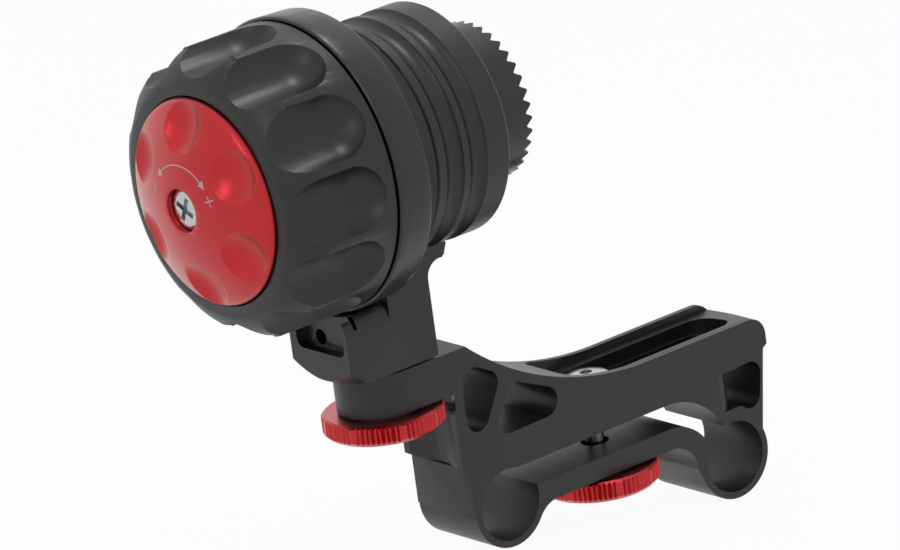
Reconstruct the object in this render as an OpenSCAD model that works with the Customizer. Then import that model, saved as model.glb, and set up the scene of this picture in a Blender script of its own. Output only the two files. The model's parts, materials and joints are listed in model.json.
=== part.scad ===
// Rod-mounted follow focus: a bracket for two camera rods that carries a tilted head, whose hand wheel drives a
// crown-toothed hub. X runs from the left rod to the right rod, Y along the rods, and Z is up. The origin is on
// the left rod's axis, at the middle of the bracket's depth. The bracket's arm and the head are tilted about the
// left rod's axis, and their sizes are given in the tilted frame.

/* [Rod clamps] */
// Diameter of the camera rods' bores
rod_bore_d = 15; // [14:0.1:16]
// Distance between the two rods
rod_spacing = 60; // [58:0.5:63]
// Depth of the bracket along the rods
bracket_depth = 18.24; // [16:0.1:20]
// Thinnest wall around the rods
ring_wall = 1.45; // [1.2:0.05:2]
// Tilt of the arm and the head against the rods
tilt = 9; // [8:0.5:10]

/* [Bracket arm] */
// Height of the arm's flat top, where the head stands
arm_top = 35.7; // [34:0.1:38]
// Height of the lowest stretch of the arm's top
saddle_top = 17.75; // [17.3:0.05:18.5]
// Radius of the hollow curve between the two
saddle_r = 68; // [66:0.5:70]
// Where the hollow curve runs out
saddle_end = 40; // [39:0.5:41]
// Right end of the arm
arm_end = 71.3; // [70.8:0.1:72.5]
// Left side of the arm below the tongue
arm_left = -10.8; // [-11.5:0.1:-10]
// Thickness of the tongue under the head
tongue_h = 8.8; // [7.5:0.1:9.5]
// Distance of the head's pivot from the left rod
pivot_x = -21.6; // [-23:0.1:-20.5]

/* [Clamping bar] */
// Height of the gap between the two jaws
jaw_gap = 5.15; // [4.5:0.05:5.8]
// Height of the lower bar's top above the left rod
bar_top = 1.85; // [1.2:0.05:2.4]
// Thickness of the lower bar
bar_h = 4.45; // [4:0.05:5]
// Distance of the clamp screw from the left rod
screw_x = 30.6; // [29:0.1:32]
// Diameter of the clamp screw's shank
shank_d = 4; // [3.5:0.1:4.2]
// Diameter of the clamp screw's head
head_d = 9.3; // [8:0.1:9.6]

/* [Knurled nuts] */
// Diameter over the knurl
nut_d = 24.9; // [23:0.1:25.4]
// Thickness of each nut
nut_h = 4.3; // [3.8:0.1:5]
// Number of knurl teeth
nut_teeth = 72; // [60:1:80]
// Diameter of the head's stud
stud_d = 6; // [5:0.5:7]

/* [Head post] */
// Left side of the post
post_left = -35; // [-36:0.1:-34.6]
// Right side of the post
post_right = -12.8; // [-13.2:0.1:-12]
// Height of the hand wheel's axis
axis_z = 80.5; // [80:0.1:83]

/* [Barrel] */
// Diameter of the barrel
barrel_d = 48; // [47:0.2:50]
// Left end of the barrel
barrel_left = -17.9; // [-18.4:0.1:-17.6]
// Right end of the barrel
barrel_right = 0.7; // [0.4:0.1:1.5]
// Depth of the barrel's two rounded grooves
groove_depth = 1.3; // [1:0.1:1.8]

/* [Marking ring] */
// Diameter of the marking ring
ring_d = 60.8; // [59:0.2:61.4]
// Width of the marking ring
ring_w = 8.4; // [7.5:0.1:8.8]

/* [Hand wheel] */
// Largest diameter of the hand wheel
wheel_d = 59.4; // [57:0.2:60]
// Length of the hand wheel
wheel_w = 23.3; // [22:0.1:25]
// Number of finger grooves
grip_count = 12; // [9:1:12]
// Radius of a finger groove's round section
grip_r = 8; // [7:0.1:9]
// Depth of a finger groove
grip_depth = 4.67; // [3.5:0.05:5]

/* [Friction disc] */
// Diameter of the friction disc
disc_d = 42.4; // [40:0.1:43]
// Radius of its domed face
dome_r = 43.5; // [40:0.5:60]
// Number of finger dimples
dimple_count = 6; // [4:1:7]
// Diameter of each dimple
dimple_d = 10.7; // [9:0.1:11.2]

/* [Drive hub] */
// Diameter of the crown-toothed hub
gear_d = 32.5; // [30:0.1:34]
// Distance of the tooth tips from the barrel
gear_len = 12.3; // [11:0.1:14]
// Height of the crown teeth
tooth_h = 1.4; // [1:0.1:2]
// Number of crown teeth
gear_teeth = 36; // [24:1:40]

/* [Shaft and bearings] */
// Diameter of the shaft
shaft_d = 8; // [7:0.5:8]
// Outer diameter of the ball bearings
bearing_d = 22; // [21:0.5:24]
// Width of the ball bearings
bearing_w = 7; // [6:0.5:7]
// Diameter of the balls
ball_d = 4; // [3.5:0.1:4.2]
// Number of balls in a bearing
ball_count = 7; // [6:1:8]

/* [Hidden] */
$fn = 96;

// Clearances: eps lets a cut run past a face, run is the radial gap of a running fit
eps = 0.5;
run = 0.03;
slip = 0.2;
far = 200;

// Colours
black = [0.16, 0.16, 0.165];
red = [0.75, 0.12, 0.14];
steel = [0.75, 0.76, 0.78];

// Rod rings and jaws, in the tilted frame
rod_r = rod_bore_d / 2;
ring_r = rod_r + ring_wall;
half_depth = bracket_depth / 2;
right_rod = [rod_spacing * cos(tilt), -rod_spacing * sin(tilt)];
bar_bottom = bar_top - bar_h;
jaw_bottom = bar_top + jaw_gap;
bend_low_r = 6.3;
bend = [43, bar_bottom - bend_low_r];
foot_fillet = 6;
foot_x = sqrt(pow(ring_r + foot_fillet, 2) - pow(bar_bottom - foot_fillet, 2));
saddle_z = saddle_top + saddle_r;
saddle_start = saddle_end - sqrt(pow(saddle_r, 2) - pow(saddle_z - arm_top, 2));
arm_corner = 4;
tongue_bottom = arm_top - tongue_h;
step_left = -9.2;
step_z = 10.2;
relief_r = nut_d / 2 + 0.6;
relief_wide_r = relief_r + 1.4;

// Top of the arm: recess between the front wall and the back rim, with a floor that falls towards the back,
// pocket for the screw's head, and a deeper pocket along the arm
strip = 1.75;
rim = 1.3;
floor_front = saddle_top - 0.1;
floor_back = saddle_top - 1.65;
floor_lean = atan((floor_front - floor_back) / (bracket_depth - strip - rim));
recess_left = 20;
recess_r = 3;
seat_z = saddle_top - 4.15;
pocket_front = -half_depth + 2.6;
pocket_back = half_depth - 4.1;
pocket_r = 4.1;
pocket_left = screw_x - head_d / 2 - 1;
pocket_right = arm_end - 5.3;
deep_left = screw_x + head_d / 2 + 1;
deep_ledge = 0.8;
deep_z = 9.6;

// Rounded edge that leads into the right lightening hole
lead_x = 57.1;
lead_r = 4;
lead_l = 5.9;
lead_low = 0.7;
lead_high = 8.8;

// Clamp screw, its nut and washer
washer_h = 0.5;
button_h = 3.3;
head_edge_h = 2.5;
screw_bottom = bar_bottom - washer_h - nut_h - 1.2;
screw_slack = 0.95;
socket_af = 2.5;

// Head stud and pivot
shim_h = 0.4;
post_bottom = arm_top + shim_h;
stud_top = post_bottom + 9;
stud_bottom = tongue_bottom - washer_h - nut_h - 0.4;
post_chamfer_r = 13.1;
post_fillet = 3.5;
barrel_foot = axis_z - barrel_d / 2;
post_round_z = barrel_foot - 4.5;
slit_z = barrel_foot - 9;
slit_w = 0.9;
shoulder_z = barrel_foot - 10.5;
shoulder_r = 6;
slot_x = -32.6;
scoop_end = -23.6;
pocket_z = 42.2;
pocket_depth = 2.2;
tap_r = 1.65;
tap_depth = 7;
tap_y = 1.8;
tap_z = 44.4;

// Hand wheel axis: positions run along the axis
wheel_gap = 0.5;
barrel_r = barrel_d / 2;
collar_left = barrel_left - 6.5;
ring_left = collar_left - 0.1 - ring_w;
wheel_back = ring_left - wheel_gap;
wheel_front = wheel_back - wheel_w;
wheel_r = wheel_d / 2;
sleeve_r = ring_d / 2 - 4.4;
sleeve_left = ring_left - 0.2;
pad_h = 0.6;
pad_seat = 0.5;
pad_in = 15;
pad_out = 20;

// Screws that hold the collar
collar_track = 16.5;
collar_screw_r = 1.5;
collar_head_r = 2.75;
grub_r = 1.25;
grub_x = barrel_left - 1.45;
grub_turn = 10;

// Bearings
bearing_r = bearing_d / 2;
shaft_r = shaft_d / 2;
inner_r = shaft_r + (bearing_r - shaft_r) * 0.28;
outer_r = bearing_r - (bearing_r - shaft_r) * 0.28;
ball_track = (shaft_r + bearing_r) / 2;
rear_x = barrel_right - 1.6 - bearing_w;
front_x = collar_left + 1;
circlip_h = 1;
seat_lip = 1.5;
groove_r = 2.6;
groove_x = [barrel_left + 4.4, barrel_left + 10.4];

// Hand wheel bore, friction disc and what presses on the wheel
disc_r = disc_d / 2;
disc_sink = 0.9;
disc_back = wheel_front + disc_sink;
disc_edge_h = 2.1;
disc_edge_r = 2;
dome_sag = dome_r - sqrt(pow(dome_r, 2) - pow(disc_r, 2));
disc_front = disc_back - disc_edge_h - dome_sag;
dimple_ball_r = 9;
dimple_track = 16.37;
dimple_turn = -0.4;
grip_turn = -0.9;
grip_back = wheel_back - 9.4;
recess_floor = wheel_front + 2.6;
web_floor = wheel_front + 13;
well_r = 9;
disc_travel = 0.5;
pin_d = 2;
pin_x = wheel_back - 3;
cross_d = 8.4;
cross_top = disc_front + 1.05;
cross_h = 2.1;
disc_well_floor = cross_top + cross_h + disc_travel + 0.15;

// Drive hub
gear_r = gear_d / 2;
gear_start = barrel_right + 0.3;
gear_end = barrel_right + gear_len;
gear_cup_r = gear_r - 4.2;
gear_cup_z = gear_end - 7.5;

// --- Frames and shared shapes ---

// The tilted frame of the arm and the head
module tilted() {
  rotate([0, -tilt, 0]) children();
}

// The hand wheel's axis, with local z along it, towards the drive hub
module on_axis() {
  tilted() translate([0, 0, axis_z]) rotate([0, 90, 0]) children();
}

// An upright place in the tilted frame
module upright(x, z) {
  tilted() translate([x, 0, z]) children();
}

// A side view outline, drawn in the tilted frame and run through the bracket's depth
module through(depth = bracket_depth) {
  rotate([90, 0, 0]) linear_extrude(depth, center = true) children();
}

// A tube of radii inner and outer, from z = start to z = end
module tube(inner, outer, start, end) {
  translate([0, 0, start]) difference() {
    cylinder(h = end - start, r = outer);
    translate([0, 0, -eps]) cylinder(h = end - start + 2 * eps, r = inner);
  }
}

// Unit vector at an angle
function dir(a) = [cos(a), sin(a)];
// Angle of the outer tangent's normal between two circles, each [x, y, r]
function tangent(a, b) =
  atan2(b[1] - a[1], b[0] - a[0]) - acos((a[2] - b[2]) / norm([b[0] - a[0], b[1] - a[1]]));
// Its two touching points, a hair inside the circles so that line and arc cross
function touch(a, b) = [for (c = [a, b]) [c[0], c[1]] + (c[2] - 0.003) * dir(tangent(a, b))];

// A loop drawn tight around circles that are given anticlockwise
module loop(circles) {
  n = len(circles);
  polygon([for (i = [0:n - 1]) each touch(circles[i], circles[(i + 1) % n])]);
  for (c = circles) translate([c[0], c[1]]) circle(c[2]);
}

// A plan view rectangle with rounded corners, centred in y
module plan(x1, x2, y1, y2, r) {
  translate([(x1 + x2) / 2, (y1 + y2) / 2]) {
    square([x2 - x1 - 2 * r, y2 - y1], center = true);
    square([x2 - x1, y2 - y1 - 2 * r], center = true);
    for (sx = [-1, 1], sy = [-1, 1])
      translate([sx * ((x2 - x1) / 2 - r), sy * ((y2 - y1) / 2 - r)]) circle(r);
  }
}

// --- Bracket ---

module bracket_side() {
  difference() {
    union() {
      // upper jaw under the saddle curve
      difference() {
        polygon([
          [arm_left, arm_top], [arm_left, step_z + 1], [step_left, step_z], [step_left, 0], [0, 0],
          [jaw_bottom, jaw_bottom], [bend[0], jaw_bottom - 3], right_rod + [-3, 4],
          right_rod + [3, 8], [70.35, 10.9], [arm_end, 11.5], [arm_end, saddle_top - arm_corner],
          [arm_end - arm_corner, saddle_top], [saddle_end, saddle_top], [saddle_start, arm_top]
        ]);
        translate([saddle_end, saddle_z]) circle(saddle_r, $fn = 180);
      }
      // round corner at the arm's right end
      translate([arm_end - arm_corner, saddle_top - arm_corner]) circle(arm_corner);
      // upright wall down to the right ring, and the flare of its foot
      rotate(-tilt) polygon([
        [rod_spacing - 4, 0], [rod_spacing + ring_r, 0.4], [rod_spacing + 7.6, 3.2],
        [rod_spacing + 7.6, 21.8], [rod_spacing - 6, 12]
      ]);
      // the two rings
      circle(ring_r);
      translate(right_rod) circle(ring_r);
      // lower bar with its bend
      translate([5, bar_bottom]) square([bend[0] - 5, bar_h]);
      translate(bend) intersection() {
        circle(bend_low_r + bar_h);
        square(far);
      }
      // left foot of the bar
      polygon([[3, -4], [foot_x * ring_r / (ring_r + foot_fillet), -5.2], [foot_x, bar_bottom], [foot_x, 0]]);
      // right foot of the bar
      polygon([bend + [bend_low_r, 0], right_rod + [-ring_r + 0.8, -3.9], right_rod, bend + [bend_low_r + 2, 2]]);
    }
    // rod bores
    circle(rod_r);
    translate(right_rod) circle(rod_r);
    // gap between the jaws and its bend
    translate([0, bar_top]) square([bend[0], jaw_gap]);
    translate(bend) intersection() {
      difference() {
        circle(bend_low_r + bar_h + jaw_gap);
        circle(bend_low_r + bar_h);
      }
      square([far, far]);
    }
    // hollow of the bar's bend and of its left foot
    translate(bend) circle(bend_low_r);
    translate([foot_x, bar_bottom - foot_fillet]) circle(foot_fillet);
    // lightening holes
    loop([[-5.2, 20.3, 2.9], [-1.9, 26.2, 2.9], [-4.9, 27.6, 3.2]]);
    loop([[2.6, 17.2, 2.65], [12.2, 17.95, 3.2], [5, 22, 2.5]]);
    loop([[63.6, 2.9, 2.4], [65.2, 2, 2.7], [65.9, 6.3, 2.8], [63.7, 6.5, 2.5]]);
  }
}

module bracket() {
  color(black) tilted() difference() {
    union() {
      through() bracket_side();
      translate([0, 0, tongue_bottom]) linear_extrude(tongue_h) {
        translate([pivot_x, 0]) circle(half_depth);
        translate([pivot_x, -half_depth]) square([arm_left + 3 - pivot_x, bracket_depth]);
      }
    }
    // room for the arm nut
    translate([pivot_x, 0, step_z]) cylinder(h = tongue_bottom - step_z, r = relief_r);
    translate([pivot_x, 0, tongue_bottom - 3.3]) cylinder(h = 3.3, r = relief_wide_r);
    // stud hole
    translate([pivot_x, 0, tongue_bottom - eps]) cylinder(h = tongue_h + 2 * eps, r = stud_d / 2 + slip);
    // recess with its slanting floor
    intersection() {
      linear_extrude(far) plan(recess_left, arm_end + 10, -half_depth + strip, half_depth - rim, recess_r);
      translate([0, -half_depth + strip, floor_front]) rotate([-floor_lean, 0, 0])
        translate([0, -far / 2, 0]) cube(far);
    }
    // pockets and screw holes
    translate([0, 0, seat_z]) linear_extrude(far)
      plan(pocket_left, pocket_right, pocket_front, pocket_back, pocket_r);
    translate([0, 0, deep_z]) linear_extrude(far)
      plan(deep_left, pocket_right - deep_ledge, pocket_front + deep_ledge, pocket_back - deep_ledge, pocket_r);
    translate([screw_x, 0, jaw_bottom - eps]) cylinder(h = far, r = shank_d / 2 + slip);
    translate([screw_x, 0, bar_bottom - eps]) cylinder(h = bar_h + 2 * eps, r = shank_d / 2 + screw_slack);
    // rounded edge on the left of the right hole
    translate([lead_x, -half_depth, lead_low]) difference() {
      translate([0, -1, 0]) cube([lead_l, lead_r + 1, lead_high - lead_low]);
      translate([0, lead_r, -eps]) cylinder(h = lead_high - lead_low + 2 * eps, r = lead_r + 0.003);
    }
  }
}

// --- Clamp screw and its nut ---

// Height of the domed head over its seat, at radius r
function head_height(r) =
  let (sag = button_h - head_edge_h, dome = (pow(head_d / 2, 2) + pow(sag, 2)) / (2 * sag))
    button_h - dome + sqrt(pow(dome, 2) - pow(r, 2));

module clamp_screw() {
  head_r = head_d / 2;
  steps = 6;
  color(steel) upright(screw_x, 0) difference() {
    union() {
      cylinder_between(screw_bottom, seat_z, shank_d / 2);
      translate([0, 0, seat_z]) rotate_extrude() polygon([
        [0, 0], [head_r, 0], for (i = [steps:-1:0]) [head_r * i / steps, head_height(head_r * i / steps)]
      ]);
    }
    translate([0, 0, seat_z + button_h - 1.7])
      cylinder(h = 2, r = socket_af / sqrt(3), $fn = 6);
  }
}

module clamp_washer() {
  color(steel) upright(screw_x, bar_bottom - washer_h)
    tube(shank_d / 2 + slip, 5.5, 0, washer_h);
}

// Knurled nut whose top face is at z = 0
module knurled_nut(bore_r) {
  r = nut_d / 2;
  groove_r = 0.62;
  difference() {
    rotate_extrude() polygon([
      [bore_r, 0], [r - 0.7, 0], [r, -0.5], [r, -nut_h + 0.9], [r - 0.9, -nut_h], [bore_r, -nut_h]
    ]);
    for (i = [0:nut_teeth - 1])
      rotate(i * 360 / nut_teeth) translate([r + 0.12, 0, -nut_h - 1])
        cylinder(h = nut_h + 2, r = groove_r, $fn = 4);
  }
}

module clamp_nut() {
  color(red) upright(screw_x, bar_bottom - washer_h) knurled_nut(shank_d / 2 + run);
}

// --- Head pivot ---

module arm_stud() {
  color(steel) upright(pivot_x, stud_bottom) cylinder(h = stud_top - stud_bottom, r = stud_d / 2);
}

module arm_washer() {
  color(steel) upright(pivot_x, tongue_bottom - washer_h) tube(stud_d / 2 + slip, 6.5, 0, washer_h);
}

module arm_nut() {
  color(red) upright(pivot_x, tongue_bottom - washer_h) knurled_nut(stud_d / 2 + run);
}

module pivot_shim() {
  color("dimgray") upright(pivot_x, arm_top) tube(stud_d / 2 + slip, 8.5, 0, shim_h);
}

// --- Housing: post and barrel ---

// Outline of the barrel's right half, turned about the axis
module barrel_side() {
  difference() {
    polygon([
      [bearing_r - 1.5, barrel_left], [barrel_r - 0.3, barrel_left], [barrel_r, barrel_left + 0.3],
      [barrel_r, barrel_right - 0.5], [barrel_r - 0.5, barrel_right], [bearing_r - 1.5, barrel_right]
    ]);
    for (x = groove_x) translate([barrel_r + groove_r - groove_depth, x]) circle(groove_r, $fn = 48);
  }
}

// Post, seen from the front
module post_side() {
  difference() {
    polygon([
      [post_left, post_bottom], [post_right, post_bottom], [post_right, post_round_z],
      [post_right + 4.7, barrel_foot - 0.6], [post_right + 5.6, barrel_foot + 1.5],
      [post_right + 2.8, barrel_foot + 7.5], [barrel_left, barrel_foot + 7.5],
      [barrel_left, barrel_foot + 1.5], [post_left, barrel_foot + 1.5]
    ]);
    translate([post_right + post_fillet, post_round_z]) circle(post_fillet);
  }
}

module housing() {
  color(black) difference() {
    union() {
      tilted() difference() {
        through() post_side();
        // cone at the foot, about the pivot
        translate([pivot_x, 0, post_bottom]) difference() {
          translate([0, 0, -eps]) cylinder(h = 20 + eps, r = 60);
          translate([0, 0, -eps])
            cylinder(h = 20 + 2 * eps, r1 = post_chamfer_r - eps, r2 = post_chamfer_r + 20 + eps);
        }
        // room under the hand wheel, and a narrow slot for its edge
        translate([post_left - 1, 0, axis_z]) rotate([0, 90, 0]) {
          cylinder(h = slot_x - post_left + 1, r = wheel_r + 0.8);
          cylinder(h = collar_left - post_left + 1.4, r = ring_d / 2 + 0.8);
        }
        translate([slot_x, -far / 2, slit_z]) cube([slit_w, far, far]);
        // rounded shoulders left of the collar
        for (s = [-1, 1]) translate([0, s * half_depth, 0]) shoulder_cut(s);
        // hollow in the post's left side, and its tapped hole
        translate([post_left - eps, 0, 0]) rotate([90, 0, 90]) linear_extrude(pocket_depth + eps)
          plan(-half_depth + 1.1, half_depth - 2.2, pocket_z, 60, 1.8);
        translate([post_left - 1, tap_y, tap_z]) rotate([0, 90, 0]) cylinder(h = tap_depth, r = tap_r);
        // stud hole
        translate([pivot_x, 0, post_bottom - eps]) cylinder(h = stud_top - post_bottom + eps, r = stud_d / 2);
      }
      on_axis() rotate_extrude($fn = 180) barrel_side();
    }
    on_axis() {
      // bearing seats and the shoulder between them
      translate([0, 0, barrel_left - 10]) cylinder(h = far, r = bearing_r - seat_lip);
      translate([0, 0, rear_x]) cylinder(h = far, r = bearing_r);
      translate([0, 0, barrel_left - 10]) cylinder(h = front_x + bearing_w - barrel_left + 10, r = bearing_r);
      translate([0, 0, barrel_right - 1.5]) cylinder(h = circlip_h, r = bearing_r + 0.9);
      translate([0, 0, collar_left - 1]) cylinder(h = barrel_left - collar_left + 1, r = barrel_r + 1.6);
      for (i = [0:2]) rotate(i * 120) translate([collar_track, 0, barrel_left - 1]) cylinder(h = 7, r = collar_screw_r);
    }
  }
}

// What is cut off the post's long upper edges, in the tilted frame, on side s
module shoulder_cut(s) {
  r = shoulder_r;
  translate([post_left - 1, 0, shoulder_z]) difference() {
    translate([0, -r, 0]) cube([scoop_end - post_left + 1, 2 * r, 20]);
    translate([-1, -s * r, 0]) rotate([0, 90, 0]) cylinder(h = 40, r = r);
    translate([-1, -s * 3 * r - r, -1]) cube([40, 2 * r, 30]);
  }
}

// --- Collar, marking ring and their small parts ---

module collar() {
  color(black) on_axis() difference() {
    rotate_extrude($fn = 180) difference() {
      polygon([
        [pad_in - 1.5, sleeve_left], [sleeve_r, sleeve_left], [sleeve_r, collar_left],
        [barrel_r + 1.2, collar_left], [barrel_r + 1.2, collar_left + 0.8], [barrel_r, barrel_left - 0.4],
        [barrel_r - 0.5, barrel_left], [bearing_r, barrel_left], [bearing_r, front_x],
        [bearing_r - 1.5, front_x], [bearing_r - 1.5, front_x - 1], [pad_in - 1.5, front_x - 1]
      ]);
      // hollow of the collar
      translate([barrel_r + 4.5, (collar_left + barrel_left) / 2]) circle(5.4, $fn = 64);
    }
    // seat of the friction pad, of the rubber ring and of the screws
    tube(pad_in, pad_out, sleeve_left - eps, sleeve_left + pad_seat);
    tube(sleeve_r - 1, sleeve_r + eps, ring_left + 2.5, ring_left + 4.3);
    for (i = [0:2]) rotate(i * 120) translate([collar_track, 0, 0]) {
      translate([0, 0, sleeve_left - 1]) cylinder(h = 20, r = collar_screw_r + slip);
      translate([0, 0, sleeve_left - 1]) cylinder(h = 4.4, r = collar_head_r + 0.15);
    }
    rotate(grub_turn) rotate([0, -90, 0]) translate([grub_x, 0, bearing_r]) cylinder(h = 20, r = grub_r);
  }
}

module collar_screws() {
  color(steel) on_axis() for (i = [0:2]) rotate(i * 120) translate([collar_track, 0, 0]) difference() {
    union() {
      translate([0, 0, sleeve_left + 1.4]) cylinder(h = 2, r = collar_head_r);
      translate([0, 0, sleeve_left + 3.4]) cylinder(h = barrel_left + 5 - sleeve_left - 3.4, r = collar_screw_r);
    }
    translate([0, 0, sleeve_left + 1.3]) cylinder(h = 1.3, r = 1.25, $fn = 6);
  }
}

module collar_grub_screw() {
  color(steel) on_axis() rotate(grub_turn) rotate([0, -90, 0]) translate([grub_x, 0, bearing_r + 0.1])
    difference() {
      cylinder(h = 8, r = grub_r);
      translate([0, 0, 7]) cylinder(h = 2, r = 0.65, $fn = 6);
    }
}

module marking_ring() {
  r = ring_d / 2;
  color(black) on_axis() rotate_extrude($fn = 180) polygon([
    [sleeve_r + slip, ring_left], [r - 0.35, ring_left], [r, ring_left + 0.35],
    [r - 0.35, ring_left + ring_w - 0.6], [r - 0.9, ring_left + ring_w], [sleeve_r + slip, ring_left + ring_w]
  ]);
}

module ring_band() {
  color([0.1, 0.1, 0.1]) on_axis() tube(sleeve_r - 1, sleeve_r + 0.12, ring_left + 2.5, ring_left + 4.3);
}

// --- Bearings ---

module bearing_outer() {
  difference() {
    tube(outer_r, bearing_r, 0, bearing_w);
    translate([0, 0, bearing_w / 2]) rotate_extrude() translate([ball_track, 0]) circle(ball_d / 2 + run, $fn = 48);
  }
}

module bearing_inner() {
  difference() {
    tube(shaft_r, inner_r, 0, bearing_w);
    translate([0, 0, bearing_w / 2]) rotate_extrude() translate([ball_track, 0]) circle(ball_d / 2 + run, $fn = 48);
  }
}

// Balls in a riveted cage
module bearing_balls() {
  cage_h = ball_d * 0.55;
  translate([0, 0, bearing_w / 2]) {
    for (i = [0:ball_count - 1]) rotate(i * 360 / ball_count) translate([ball_track, 0, 0])
      sphere(ball_d / 2, $fn = 32);
    tube(ball_track - 0.6, ball_track + 0.6, -cage_h / 2, cage_h / 2);
  }
}

module front_bearing_outer() {
  color(steel) on_axis() translate([0, 0, front_x]) bearing_outer();
}

module front_bearing_inner() {
  color(steel) on_axis() translate([0, 0, front_x]) bearing_inner();
}

module front_bearing_balls() {
  color(steel) on_axis() translate([0, 0, front_x]) bearing_balls();
}

module rear_bearing_outer() {
  color(steel) on_axis() translate([0, 0, rear_x]) bearing_outer();
}

module rear_bearing_inner() {
  color(steel) on_axis() translate([0, 0, rear_x]) bearing_inner();
}

module rear_bearing_balls() {
  color(steel) on_axis() translate([0, 0, rear_x]) bearing_balls();
}

module bearing_spacer() {
  color(steel) on_axis() tube(shaft_r, inner_r, front_x + bearing_w, rear_x);
}

// Open ring in the barrel's groove
module bearing_circlip() {
  color(steel) on_axis() difference() {
    tube(bearing_r - 1.6, bearing_r + 0.7, barrel_right - 1.45, barrel_right - 0.55);
    translate([bearing_r - 3, -2, barrel_right - 2]) cube([6, 4, 3]);
  }
}

// --- Shaft and drive hub ---

module main_shaft() {
  color(steel) on_axis() difference() {
    union() {
      cylinder_between(disc_well_floor + 0.8, gear_cup_z, shaft_r);
      // collar against the front bearing
      translate([0, 0, front_x - 2]) cylinder(h = 2, r = inner_r);
    }
    translate([0, 0, gear_cup_z - 9]) cylinder(h = 10, r = 2);
    translate([0, 0, disc_well_floor]) cylinder(h = 8, r = 1.6);
    translate([0, 0, pin_x]) rotate([90, 0, 0]) cylinder(h = 30, r = pin_d / 2, center = true);
  }
}

module drive_pin() {
  color(steel) on_axis() translate([0, 0, pin_x]) rotate([90, 0, 0])
    cylinder(h = 15, r = pin_d / 2, center = true);
}

// One gap between two crown teeth, at the tooth tips
module crown_gap() {
  pitch = PI * gear_d / gear_teeth;
  translate([gear_cup_r - 1, 0, gear_end]) rotate([90, 0, 90]) linear_extrude(gear_r - gear_cup_r + 3)
    polygon([[-pitch * 0.52, 0.1], [pitch * 0.38, 0.1], [0.12, -tooth_h], [-0.12, -tooth_h]]);
}

module drive_gear() {
  color(black) on_axis() difference() {
    union() {
      rotate_extrude() polygon([
        [shaft_r + run, gear_start], [gear_r, gear_start], [gear_r, gear_end], [gear_cup_r, gear_end],
        [gear_cup_r, gear_cup_z], [shaft_r + run, gear_cup_z]
      ]);
      tube(shaft_r + run, inner_r, rear_x + bearing_w, gear_start + 1);
    }
    for (i = [0:gear_teeth - 1]) rotate(i * 360 / gear_teeth) crown_gap();
  }
}

module gear_screw() {
  color(steel) on_axis() difference() {
    union() {
      translate([0, 0, gear_cup_z - 8.5]) cylinder(h = 9, r = 2);
      translate([0, 0, gear_cup_z]) cylinder(h = 2.6, r = 5);
    }
    translate([0, 0, gear_cup_z + 1.2]) cylinder(h = 2, r = 1.75, $fn = 6);
  }
}

// --- Hand wheel and friction parts ---

module wheel_side() {
  c = wheel_front;
  intersection() {
    translate([0, c]) square([wheel_r, wheel_w]);
    union() {
      translate([0, c + 6.2]) square([wheel_r, wheel_w - 6.2]);
      translate([0, c]) polygon([[0, 0], [21.7, 0], [22.3, 0.5], [wheel_r, 6.2], [0, 6.2]]);
      translate([wheel_r - 9.2, c + 8.6]) circle(9.2);
      translate([20.9, c + 5.4]) circle(5.4);
    }
  }
}

// Cuts one finger groove, which runs off the wheel's front and has a ball-shaped back end
module grip_cut() {
  translate([wheel_r - grip_depth + grip_r, 0, 0]) {
    translate([0, 0, grip_back]) sphere(grip_r, $fn = 64);
    translate([0, 0, wheel_front - eps]) cylinder(h = grip_back - wheel_front + eps, r = grip_r, $fn = 64);
  }
}

module handwheel() {
  color(black) on_axis() difference() {
    rotate_extrude($fn = 180) wheel_side();
    for (i = [0:grip_count - 1]) rotate(i * 360 / grip_count + grip_turn) grip_cut();
    // seat of the friction disc, well of its nut, bore and slot for the drive pin
    translate([0, 0, wheel_front - eps]) cylinder(h = recess_floor - wheel_front + eps, r = disc_r + 0.3);
    translate([0, 0, wheel_front]) cylinder(h = web_floor - wheel_front, r = well_r);
    translate([0, 0, wheel_front]) cylinder(h = wheel_w + eps, r = shaft_r + run);
    translate([0, 0, wheel_back + eps]) mirror([0, 0, 1]) linear_extrude(wheel_back - pin_x + pin_d / 2 + eps + 0.1)
      square([pin_d + 0.1, 15.6], center = true);
  }
}

module friction_pad() {
  color("sienna") on_axis() tube(pad_in + 0.1, pad_out - 0.1, sleeve_left + pad_seat - pad_h, sleeve_left + pad_seat);
}

// Conical spring washer on the wheel's web
module disc_spring() {
  color(steel) on_axis() rotate_extrude() polygon([
    [shaft_r + slip, web_floor - 1.2], [8, web_floor - 0.6], [8, web_floor], [shaft_r + slip, web_floor - 0.6]
  ]);
}

module thrust_washer() {
  color(steel) on_axis() tube(shaft_r + slip, 7.5, web_floor - 2, web_floor - 1.2);
}

module disc_nut() {
  color("darkgoldenrod") on_axis() tube(shaft_r + run, 7, disc_back + 0.6, web_floor - 2);
}

// Point of the dome's side view at radius r
function dome_point(r) = [r, disc_front + dome_r - sqrt(pow(dome_r, 2) - pow(r, 2))];

// Side view of the disc: dome, rounded edge and flat back
module disc_side() {
  dome_steps = 14;
  edge_steps = 6;
  edge_x = disc_r - disc_edge_r;
  edge_z = disc_front + dome_r - sqrt(pow(dome_r - disc_edge_r, 2) - pow(edge_x, 2));
  start = asin(edge_x / (dome_r - disc_edge_r));
  polygon([
    for (i = [0:dome_steps - 1]) dome_point(dome_r * sin(start) * i / dome_steps),
    for (i = [0:edge_steps])
      let (a = start + (90 - start) * i / edge_steps)
        [edge_x + disc_edge_r * sin(a), edge_z - disc_edge_r * cos(a)],
    [disc_r, disc_back - 0.3], [disc_r - 0.3, disc_back], [0, disc_back]
  ]);
}

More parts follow.
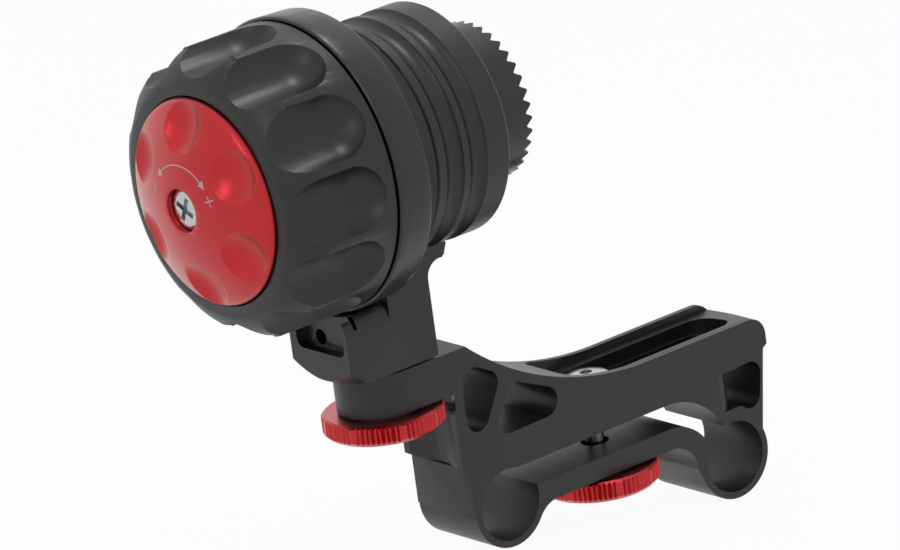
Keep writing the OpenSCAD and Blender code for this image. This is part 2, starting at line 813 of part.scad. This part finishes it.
module friction_disc() {
  color(red) on_axis() difference() {
    union() {
      rotate_extrude($fn = 180) disc_side();
      cylinder_between(disc_back - 1, disc_back + 3, 8.6);
    }
    // dimples
    for (i = [0:dimple_count - 1]) rotate(i * 360 / dimple_count + dimple_turn) dimple();
    // counterbore of the screw, and the nut's seat
    cylinder_between(disc_front - eps, disc_well_floor, cross_d / 2 + 0.25);
    cylinder_between(disc_well_floor - eps, disc_back + 4, shaft_r + slip);
    cylinder_between(disc_back + 0.6, disc_back + 4, 7);
  }
}

// Cylinder from z = start to z = end
module cylinder_between(start, end, r) {
  translate([0, 0, start]) cylinder(h = end - start, r = r);
}

// Ball that cuts one dimple into the dome
module dimple() {
  lean = asin(dimple_track / dome_r);
  reach = sqrt(pow(dome_r, 2) - pow(dimple_d / 2, 2)) + sqrt(pow(dimple_ball_r, 2) - pow(dimple_d / 2, 2));
  translate([0, 0, disc_front + dome_r]) rotate([0, -lean, 0])
    translate([0, 0, -reach]) rotate([90, 0, 0]) sphere(dimple_ball_r, $fn = 96);
}

module disc_screw() {
  arm_w = 1.1;
  color(steel) on_axis() difference() {
    union() {
      cylinder_between(cross_top + 0.5, cross_top + cross_h, cross_d / 2);
      translate([0, 0, cross_top]) cylinder(h = 0.5, r1 = cross_d / 2 - 0.8, r2 = cross_d / 2);
      cylinder_between(cross_top + cross_h, disc_well_floor + 7.5, 1.6);
    }
    for (a = [0, 90]) rotate(a + 25) translate([-2.6, -arm_w / 2, cross_top - eps]) cube([5.2, arm_w, 1.4 + eps]);
  }
}

bracket();
clamp_screw();
clamp_washer();
clamp_nut();
arm_stud();
arm_washer();
arm_nut();
pivot_shim();
housing();
collar();
collar_screws();
collar_grub_screw();
marking_ring();
ring_band();
front_bearing_outer();
front_bearing_inner();
front_bearing_balls();
rear_bearing_outer();
rear_bearing_inner();
rear_bearing_balls();
bearing_spacer();
bearing_circlip();
main_shaft();
drive_pin();
drive_gear();
gear_screw();
handwheel();
friction_pad();
disc_spring();
thrust_washer();
disc_nut();
friction_disc();
disc_screw();
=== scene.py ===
import bmesh
import bpy
import json
import math
from mathutils import Matrix, Vector

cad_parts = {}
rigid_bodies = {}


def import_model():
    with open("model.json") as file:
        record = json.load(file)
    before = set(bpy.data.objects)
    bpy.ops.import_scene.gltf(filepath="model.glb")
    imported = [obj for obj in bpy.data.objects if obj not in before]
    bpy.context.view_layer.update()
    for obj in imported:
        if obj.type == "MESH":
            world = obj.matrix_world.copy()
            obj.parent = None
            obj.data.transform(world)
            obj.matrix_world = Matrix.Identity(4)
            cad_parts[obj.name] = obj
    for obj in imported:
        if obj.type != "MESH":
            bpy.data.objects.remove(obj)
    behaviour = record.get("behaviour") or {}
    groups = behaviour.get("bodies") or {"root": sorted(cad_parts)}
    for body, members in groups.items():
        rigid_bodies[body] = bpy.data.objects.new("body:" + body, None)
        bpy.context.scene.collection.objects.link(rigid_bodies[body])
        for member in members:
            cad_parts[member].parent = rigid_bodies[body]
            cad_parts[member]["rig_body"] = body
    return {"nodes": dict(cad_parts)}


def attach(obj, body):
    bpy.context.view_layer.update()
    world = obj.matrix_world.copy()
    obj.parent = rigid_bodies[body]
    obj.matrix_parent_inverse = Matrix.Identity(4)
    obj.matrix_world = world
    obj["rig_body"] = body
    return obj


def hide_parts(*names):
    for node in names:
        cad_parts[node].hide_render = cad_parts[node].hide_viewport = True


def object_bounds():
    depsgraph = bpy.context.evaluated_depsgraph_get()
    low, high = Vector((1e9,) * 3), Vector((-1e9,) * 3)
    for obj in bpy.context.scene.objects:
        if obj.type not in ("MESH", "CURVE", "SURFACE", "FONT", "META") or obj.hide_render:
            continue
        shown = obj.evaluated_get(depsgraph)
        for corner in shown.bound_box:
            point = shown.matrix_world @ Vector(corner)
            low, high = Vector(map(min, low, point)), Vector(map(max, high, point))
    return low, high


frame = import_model()
cad_low, cad_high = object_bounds()
nodes = frame["nodes"]

MM = 0.001

HEAD_TILT = 9          # degrees, how far arm and head lean to the left
AXIS_HEIGHT = 80.5     # mm, from the left rod's axis to the hand wheel's, in the leaning frame

# Place of the hand wheel's axis: local z runs along it, towards the drive hub
tilted = Matrix.Rotation(-math.radians(HEAD_TILT), 4, "Y")
on_axis = tilted @ Matrix.Translation((0, 0, AXIS_HEIGHT)) @ Matrix.Rotation(math.pi / 2, 4, "Y")


# --- Materials ---

PATCH = 14             # mm, size of the patches in which a finish changes its colour
GRAIN_DEPTH = 0.01     # mm, height of the grain at full bump
LOW, HIGH = 0.3, 0.7   # range of the noise that is spread over a finish's two colours and roughnesses
COAT_ROUGHNESS, COAT_IOR = 0.3, 1.5


def linear(code, alpha=1.0):
    """sRGB hex to a linear colour"""
    values = [int(code[i:i + 2], 16) / 255 for i in (1, 3, 5)]
    return (*[v / 12.92 if v <= 0.04045 else ((v + 0.055) / 1.055) ** 2.4 for v in values], alpha)


def add(tree, kind, links=None, **settings):
    """Adds a node; settings are its properties or sockets, links say which output feeds a socket"""
    node = tree.nodes.new("ShaderNode" + kind)
    for name, value in settings.items():
        if hasattr(node, name):
            setattr(node, name, value)
        else:
            node.inputs[name.replace("_", " ")].default_value = value
    for socket, source in (links or {}).items():
        tree.links.new(source, node.inputs[socket])
    return node


def finish_material(name, colours, metallic, roughness, grain, bump, coat=0.0):
    """A surface whose colour changes a little in patches, with a fine grain in roughness and relief.
    colours are two hex values, roughness its lowest and highest, grain the size of one grain in mm,
    and bump how strongly the grain stands out."""
    material = bpy.data.materials.new(name)
    material.use_nodes = True
    tree = material.node_tree
    shader = tree.nodes["Principled BSDF"]
    shader.inputs["Metallic"].default_value = metallic
    shader.inputs["Coat Weight"].default_value = coat
    shader.inputs["Coat Roughness"].default_value = COAT_ROUGHNESS
    shader.inputs["Coat IOR"].default_value = COAT_IOR
    place = add(tree, "TexCoord").outputs["Object"]
    patches = add(tree, "TexNoise", {"Vector": place}, Scale=1 / (PATCH * MM), Detail=3.0)
    fine = add(tree, "TexNoise", {"Vector": place}, Scale=1 / (grain * MM), Detail=2.0)
    ramp = add(tree, "ValToRGB", {"Fac": patches.outputs["Fac"]})
    for element, position, colour in zip(ramp.color_ramp.elements, (LOW, HIGH), colours):
        element.position = position
        element.color = linear(colour)
    tree.links.new(ramp.outputs["Color"], shader.inputs["Base Color"])
    spread = add(tree, "MapRange", {"Value": fine.outputs["Fac"]},
                 From_Min=LOW, From_Max=HIGH, To_Min=roughness[0], To_Max=roughness[1])
    tree.links.new(spread.outputs["Result"], shader.inputs["Roughness"])
    relief = add(tree, "Bump", {"Height": fine.outputs["Fac"]}, Strength=bump, Distance=GRAIN_DEPTH * MM)
    tree.links.new(relief.outputs["Normal"], shader.inputs["Normal"])
    return material


# Black anodised aluminium, bead blasted: soft satin sheen; the 0.1 mm grit is drawn at 0.25 mm to show
black = finish_material("black_anodised_blasted", ("#121213", "#161618"), 0.0, (0.36, 0.44), 0.25, 0.25)
# Black anodised aluminium, turned: the same dye on a smoother cut, so lamps draw narrower streaks
black_turned = finish_material("black_anodised_turned", ("#111112", "#151517"), 0.0, (0.26, 0.32), 0.25, 0.15)
# Red anodised aluminium: the dye colours the metal's own reflection, under its sealed oxide layer
red = finish_material("red_anodised", ("#b0121b", "#ba141e"), 1.0, (0.3, 0.36), 0.25, 0.15, coat=0.7)
# Stainless steel, turned and tumbled: bright and slightly clouded
steel = finish_material("stainless_steel_turned", ("#b9babd", "#c4c5c8"), 1.0, (0.2, 0.28), 0.3, 0.2)
# Bearing steel, ground: brighter and smoother than the screws
bearing_steel = finish_material("bearing_steel_ground", ("#c6c7ca", "#cecfd2"), 1.0, (0.12, 0.18), 0.3, 0.1)
# Brass, turned: warm yellow with a soft shine
brass = finish_material("brass_turned", ("#c39a4a", "#caa252"), 1.0, (0.24, 0.3), 0.3, 0.15)
# Nitrile rubber, moulded: dull black
rubber = finish_material("nitrile_rubber_moulded", ("#141414", "#181818"), 0.0, (0.7, 0.8), 0.3, 0.3)
# Nylon shim, pressed: dark grey with a faint shine
nylon = finish_material("nylon_pressed", ("#202021", "#252526"), 0.0, (0.5, 0.6), 0.3, 0.2)
# Fibre friction material, pressed: brown with darker flecks
fibre = finish_material("friction_fibre_pressed", ("#4e3423", "#6a4630"), 0.0, (0.75, 0.85), 0.5, 0.5)
# White screen-printed ink, so thin that the red under it tints it; its colour is drawn already tinted
ink = finish_material("screen_print_ink", ("#c9b6b7", "#d3c0c1"), 0.0, (0.45, 0.55), 0.25, 0.1)

CAD_MATERIALS = {
    black: ["bracket", "housing", "handwheel", "collar"],
    black_turned: ["marking_ring", "drive_gear"],
    red: ["clamp_nut", "arm_nut", "friction_disc"],
    steel: ["clamp_screw", "clamp_washer", "arm_stud", "arm_washer", "collar_screws",
            "collar_grub_screw", "main_shaft", "drive_pin", "gear_screw", "disc_spring",
            "thrust_washer", "disc_screw", "bearing_spacer", "bearing_circlip"],
    bearing_steel: ["front_bearing_outer", "front_bearing_inner", "front_bearing_balls",
                    "rear_bearing_outer", "rear_bearing_inner", "rear_bearing_balls"],
    brass: ["disc_nut"],
    rubber: ["ring_band"],
    nylon: ["pivot_shim"],
    fibre: ["friction_pad"],
}
for material, names in CAD_MATERIALS.items():
    for name in names:
        nodes[name].data.materials.clear()
        nodes[name].data.materials.append(material)


# --- Mesh tools ---

WELD = 0.002           # mm, corners nearer than this are one corner
FLAT = 0.3             # degrees, faces that turn less than this are one face
SHARP = 32             # degrees, edges that turn more than this stay sharp and get the bevel
KNURL_SHARP = 20       # the same on the two nuts, to keep more of their knurl's edges sharp
BEVEL_SEGMENTS = 2


def mesh_object(name, bm):
    """An object at the origin with the shape of bm, which is used up"""
    mesh = bpy.data.meshes.new(name)
    bm.to_mesh(mesh)
    bm.free()
    piece = bpy.data.objects.new(name, mesh)
    bpy.context.scene.collection.objects.link(piece)
    return piece


def settle(piece, node, material, bevel=0.0, sharp=SHARP):
    """Gives a piece its node's body, its material, smooth faces, and a small bevel on sharp edges"""
    piece.data.materials.clear()
    piece.data.materials.append(material)
    piece.data.polygons.foreach_set("use_smooth", [True] * len(piece.data.polygons))
    piece.data.set_sharp_from_angle(angle=math.radians(sharp))
    if bevel:
        edges = piece.modifiers.new("edges", "BEVEL")
        edges.width = bevel * MM
        edges.segments = BEVEL_SEGMENTS
        edges.limit_method = "ANGLE"
        edges.angle_limit = math.radians(sharp)
        edges.harden_normals = True
    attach(piece, nodes[node]["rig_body"])


def smoothed(node, material, bevel, sharp=SHARP):
    """A merged copy of a CAD shape that is right as it is, with smooth faces and bevelled edges"""
    bm = bmesh.new()
    bm.from_mesh(nodes[node].data)
    bmesh.ops.remove_doubles(bm, verts=bm.verts, dist=WELD * MM)
    bmesh.ops.dissolve_limit(bm, angle_limit=math.radians(FLAT), verts=bm.verts, edges=bm.edges)
    piece = mesh_object(node + "_fine", bm)
    settle(piece, node, material, bevel, sharp)
    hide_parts(node)


# --- Pieces whose CAD shape is right, with the width of their bevel in mm ---

smoothed("bracket", black, 0.12)
smoothed("housing", black, 0.12)
smoothed("drive_gear", black_turned, 0.06)
smoothed("collar", black_turned, 0.1)
smoothed("marking_ring", black_turned, 0.1)
smoothed("handwheel", black, 0.2)
smoothed("clamp_nut", red, 0, KNURL_SHARP)
smoothed("arm_nut", red, 0, KNURL_SHARP)
smoothed("friction_disc", red, 0.15)
smoothed("disc_screw", steel, 0.05)
smoothed("clamp_screw", steel, 0.15)
smoothed("gear_screw", steel, 0.1)


# --- Print on the friction disc: a double-headed arrow from minus to plus ---

# Sizes in mm. The disc's dome is part of a ball of radius DOME_R, whose top lies at DISC_FRONT on the axis
DISC_FRONT, DOME_R = -63.416, 43.5
PRINT_R = 9.1                  # from the wheel's axis to the middle of the arrow's arc
STROKE = 0.24                  # width of a printed line
INK = 0.02                     # the ink reaches this far above the dome, and as far below it
ARROWHEAD_HALF = 0.85          # half an arrowhead's width at its base
MINUS_LENGTH, PLUS_LENGTH = 2.4, 2.2

# Angles round the axis, in degrees
ARC_MIDDLE, ARC_HALF = 92, 43
MINUS_ARROWHEAD, PLUS_ARROWHEAD = (50, 40), (134, 144)   # each one's base and tip
MINUS_AT, PLUS_AT = 21, 160


def printed(name, spot, columns=1):
    """A thin layer of ink on the dome; spot gives radius and angle from two values from -1 to 1"""
    bm = bmesh.new()
    bmesh.ops.create_grid(bm, x_segments=columns, y_segments=1, size=1)
    for vertex in bm.verts:
        radius, angle = spot(vertex.co.x, vertex.co.y)
        turn = math.radians(angle)
        height = DISC_FRONT + DOME_R - math.sqrt((DOME_R - INK) ** 2 - radius ** 2)
        vertex.co = (-radius * math.sin(turn), radius * math.cos(turn), height)
    # Solidify has to push the layer out of the disc, so its faces first look towards the hub
    bm.normal_update()
    if all(face.normal.z < 0 for face in bm.faces):
        bmesh.ops.reverse_faces(bm, faces=bm.faces[:])
    bmesh.ops.solidify(bm, geom=bm.faces[:], thickness=2 * INK)
    bmesh.ops.recalc_face_normals(bm, faces=bm.faces)
    bmesh.ops.transform(bm, matrix=Matrix.Scale(MM, 4) @ on_axis, verts=bm.verts)
    piece = mesh_object(name, bm)
    settle(piece, "friction_disc", ink)


def arc(u, v):
    """The arrow's curved line"""
    return PRINT_R + v * STROKE / 2, ARC_MIDDLE + u * ARC_HALF


def arrowhead(base, tip):
    """A triangle whose tip keeps a 25th of its base's width"""
    return lambda u, v: (PRINT_R + v * ARROWHEAD_HALF * (0.52 - u * 0.48),
                         base + (tip - base) * (u + 1) / 2)


def along(length, angle):
    """A bar that runs round the axis"""
    return lambda u, v: (PRINT_R + v * STROKE / 2, angle + math.degrees(u * length / 2 / PRINT_R))


def across(length, angle):
    """A bar that runs away from the axis"""
    return lambda u, v: (PRINT_R + u * length / 2, angle + math.degrees(v * STROKE / 2 / PRINT_R))


printed("print_arc", arc, columns=48)
printed("print_head_minus", arrowhead(*MINUS_ARROWHEAD), columns=4)
printed("print_head_plus", arrowhead(*PLUS_ARROWHEAD), columns=4)
printed("print_minus", along(MINUS_LENGTH, MINUS_AT))
printed("print_plus", along(PLUS_LENGTH, PLUS_AT))
printed("print_plus_upright", across(PLUS_LENGTH, PLUS_AT))


# --- Camera, solved from the photograph ---

CAMERA_PLACE = (-1043.0, -1261.72, 414.3)      # mm
FOCAL_LENGTH, SENSOR_WIDTH = 335.2, 36         # mm
AZIMUTH, ELEVATION, ROLL = [math.radians(angle) for angle in (-39.37, 12.69, -0.55)]
CLIP_END = 20                                  # m, past the floor's far corner

back = Vector((math.sin(AZIMUTH) * math.cos(ELEVATION), -math.cos(AZIMUTH) * math.cos(ELEVATION),
               math.sin(ELEVATION)))
flat_right = Vector((math.cos(AZIMUTH), math.sin(AZIMUTH), 0))
flat_up = back.cross(flat_right)
right = math.cos(ROLL) * flat_right + math.sin(ROLL) * flat_up
up = -math.sin(ROLL) * flat_right + math.cos(ROLL) * flat_up

lens = bpy.data.cameras.new("camera")
lens.lens = FOCAL_LENGTH
lens.sensor_width = SENSOR_WIDTH
lens.sensor_fit = "HORIZONTAL"
lens.clip_end = CLIP_END
camera = bpy.data.objects.new("camera", lens)
bpy.context.scene.collection.objects.link(camera)
facing = Matrix((right, up, back)).transposed().to_4x4()
camera.matrix_world = Matrix.Translation(Vector(CAMERA_PLACE) * MM) @ facing
bpy.context.scene.camera = camera


# --- World, floor and lamps ---

WORLD_LIGHT = 0.42     # strength of the soft light from all round
FLOOR_HALF = 6         # m, half the floor's width
FLOOR_GAP = 0.0005     # m, from the floor to the part's lowest point
FLOOR_WHITE = 0.95     # share of plain white in the floor as the camera sees it; the rest takes the shadow


def seen_white(tree):
    """1 for camera rays and for rays in reflections and glass, else 0"""
    path = add(tree, "LightPath")
    glossy = add(tree, "Math", {0: path.outputs["Is Camera Ray"], 1: path.outputs["Is Glossy Ray"]},
                 operation="MAXIMUM")
    return add(tree, "Math", {0: glossy.outputs[0], 1: path.outputs["Is Transmission Ray"]},
               operation="MAXIMUM")


world = bpy.data.worlds.new("studio")
bpy.context.scene.world = world
world.use_nodes = True
tree = world.node_tree
tree.nodes.clear()
soft = add(tree, "Background", Color=linear("#ffffff"), Strength=WORLD_LIGHT)
plain = add(tree, "Background", Color=linear("#ffffff"), Strength=1.0)
seen = seen_white(tree)
mixed = add(tree, "MixShader", {0: seen.outputs[0], 1: soft.outputs[0], 2: plain.outputs[0]})
add(tree, "OutputWorld", {"Surface": mixed.outputs[0]})

floor_mesh = bmesh.new()
bmesh.ops.create_grid(floor_mesh, x_segments=1, y_segments=1, size=FLOOR_HALF)
bmesh.ops.translate(floor_mesh, verts=floor_mesh.verts, vec=(0, 0, cad_low[2] - FLOOR_GAP))
floor = mesh_object("floor", floor_mesh)
paint = bpy.data.materials.new("white_floor")
paint.use_nodes = True
tree = paint.node_tree
tree.nodes.clear()
matt = add(tree, "BsdfDiffuse", Color=linear("#f4f4f4"))
glow = add(tree, "Emission", Color=linear("#ffffff"), Strength=1.0)
seen = seen_white(tree)
share = add(tree, "Math", {0: seen.outputs[0]}, operation="MULTIPLY")
share.inputs[1].default_value = FLOOR_WHITE
mixed = add(tree, "MixShader", {0: share.outputs[0], 1: matt.outputs[0], 2: glow.outputs[0]})
add(tree, "OutputMaterial", {"Surface": mixed.outputs[0]})
floor.data.materials.append(paint)


def lamp(name, place, target, size, power):
    """A rectangular lamp that faces the target; places and size in m, power in W"""
    data = bpy.data.lights.new(name, "AREA")
    data.shape = "RECTANGLE"
    data.size, data.size_y = size
    data.energy = power
    obj = bpy.data.objects.new(name, data)
    bpy.context.scene.collection.objects.link(obj)
    obj.location = place
    obj.rotation_euler = (Vector(place) - Vector(target)).to_track_quat("Z", "Y").to_euler()


middle = (0, 0, 0.04)  # m, the point that both lamps face
lamp("overhead", (0.1, 0.09, 0.95), middle, (0.12, 0.3), 2.0)
lamp("left_softbox", (-0.9, -0.3, 0.55), middle, (0.3, 0.6), 1.0)

view = bpy.context.scene.view_settings
view.view_transform = "Standard"
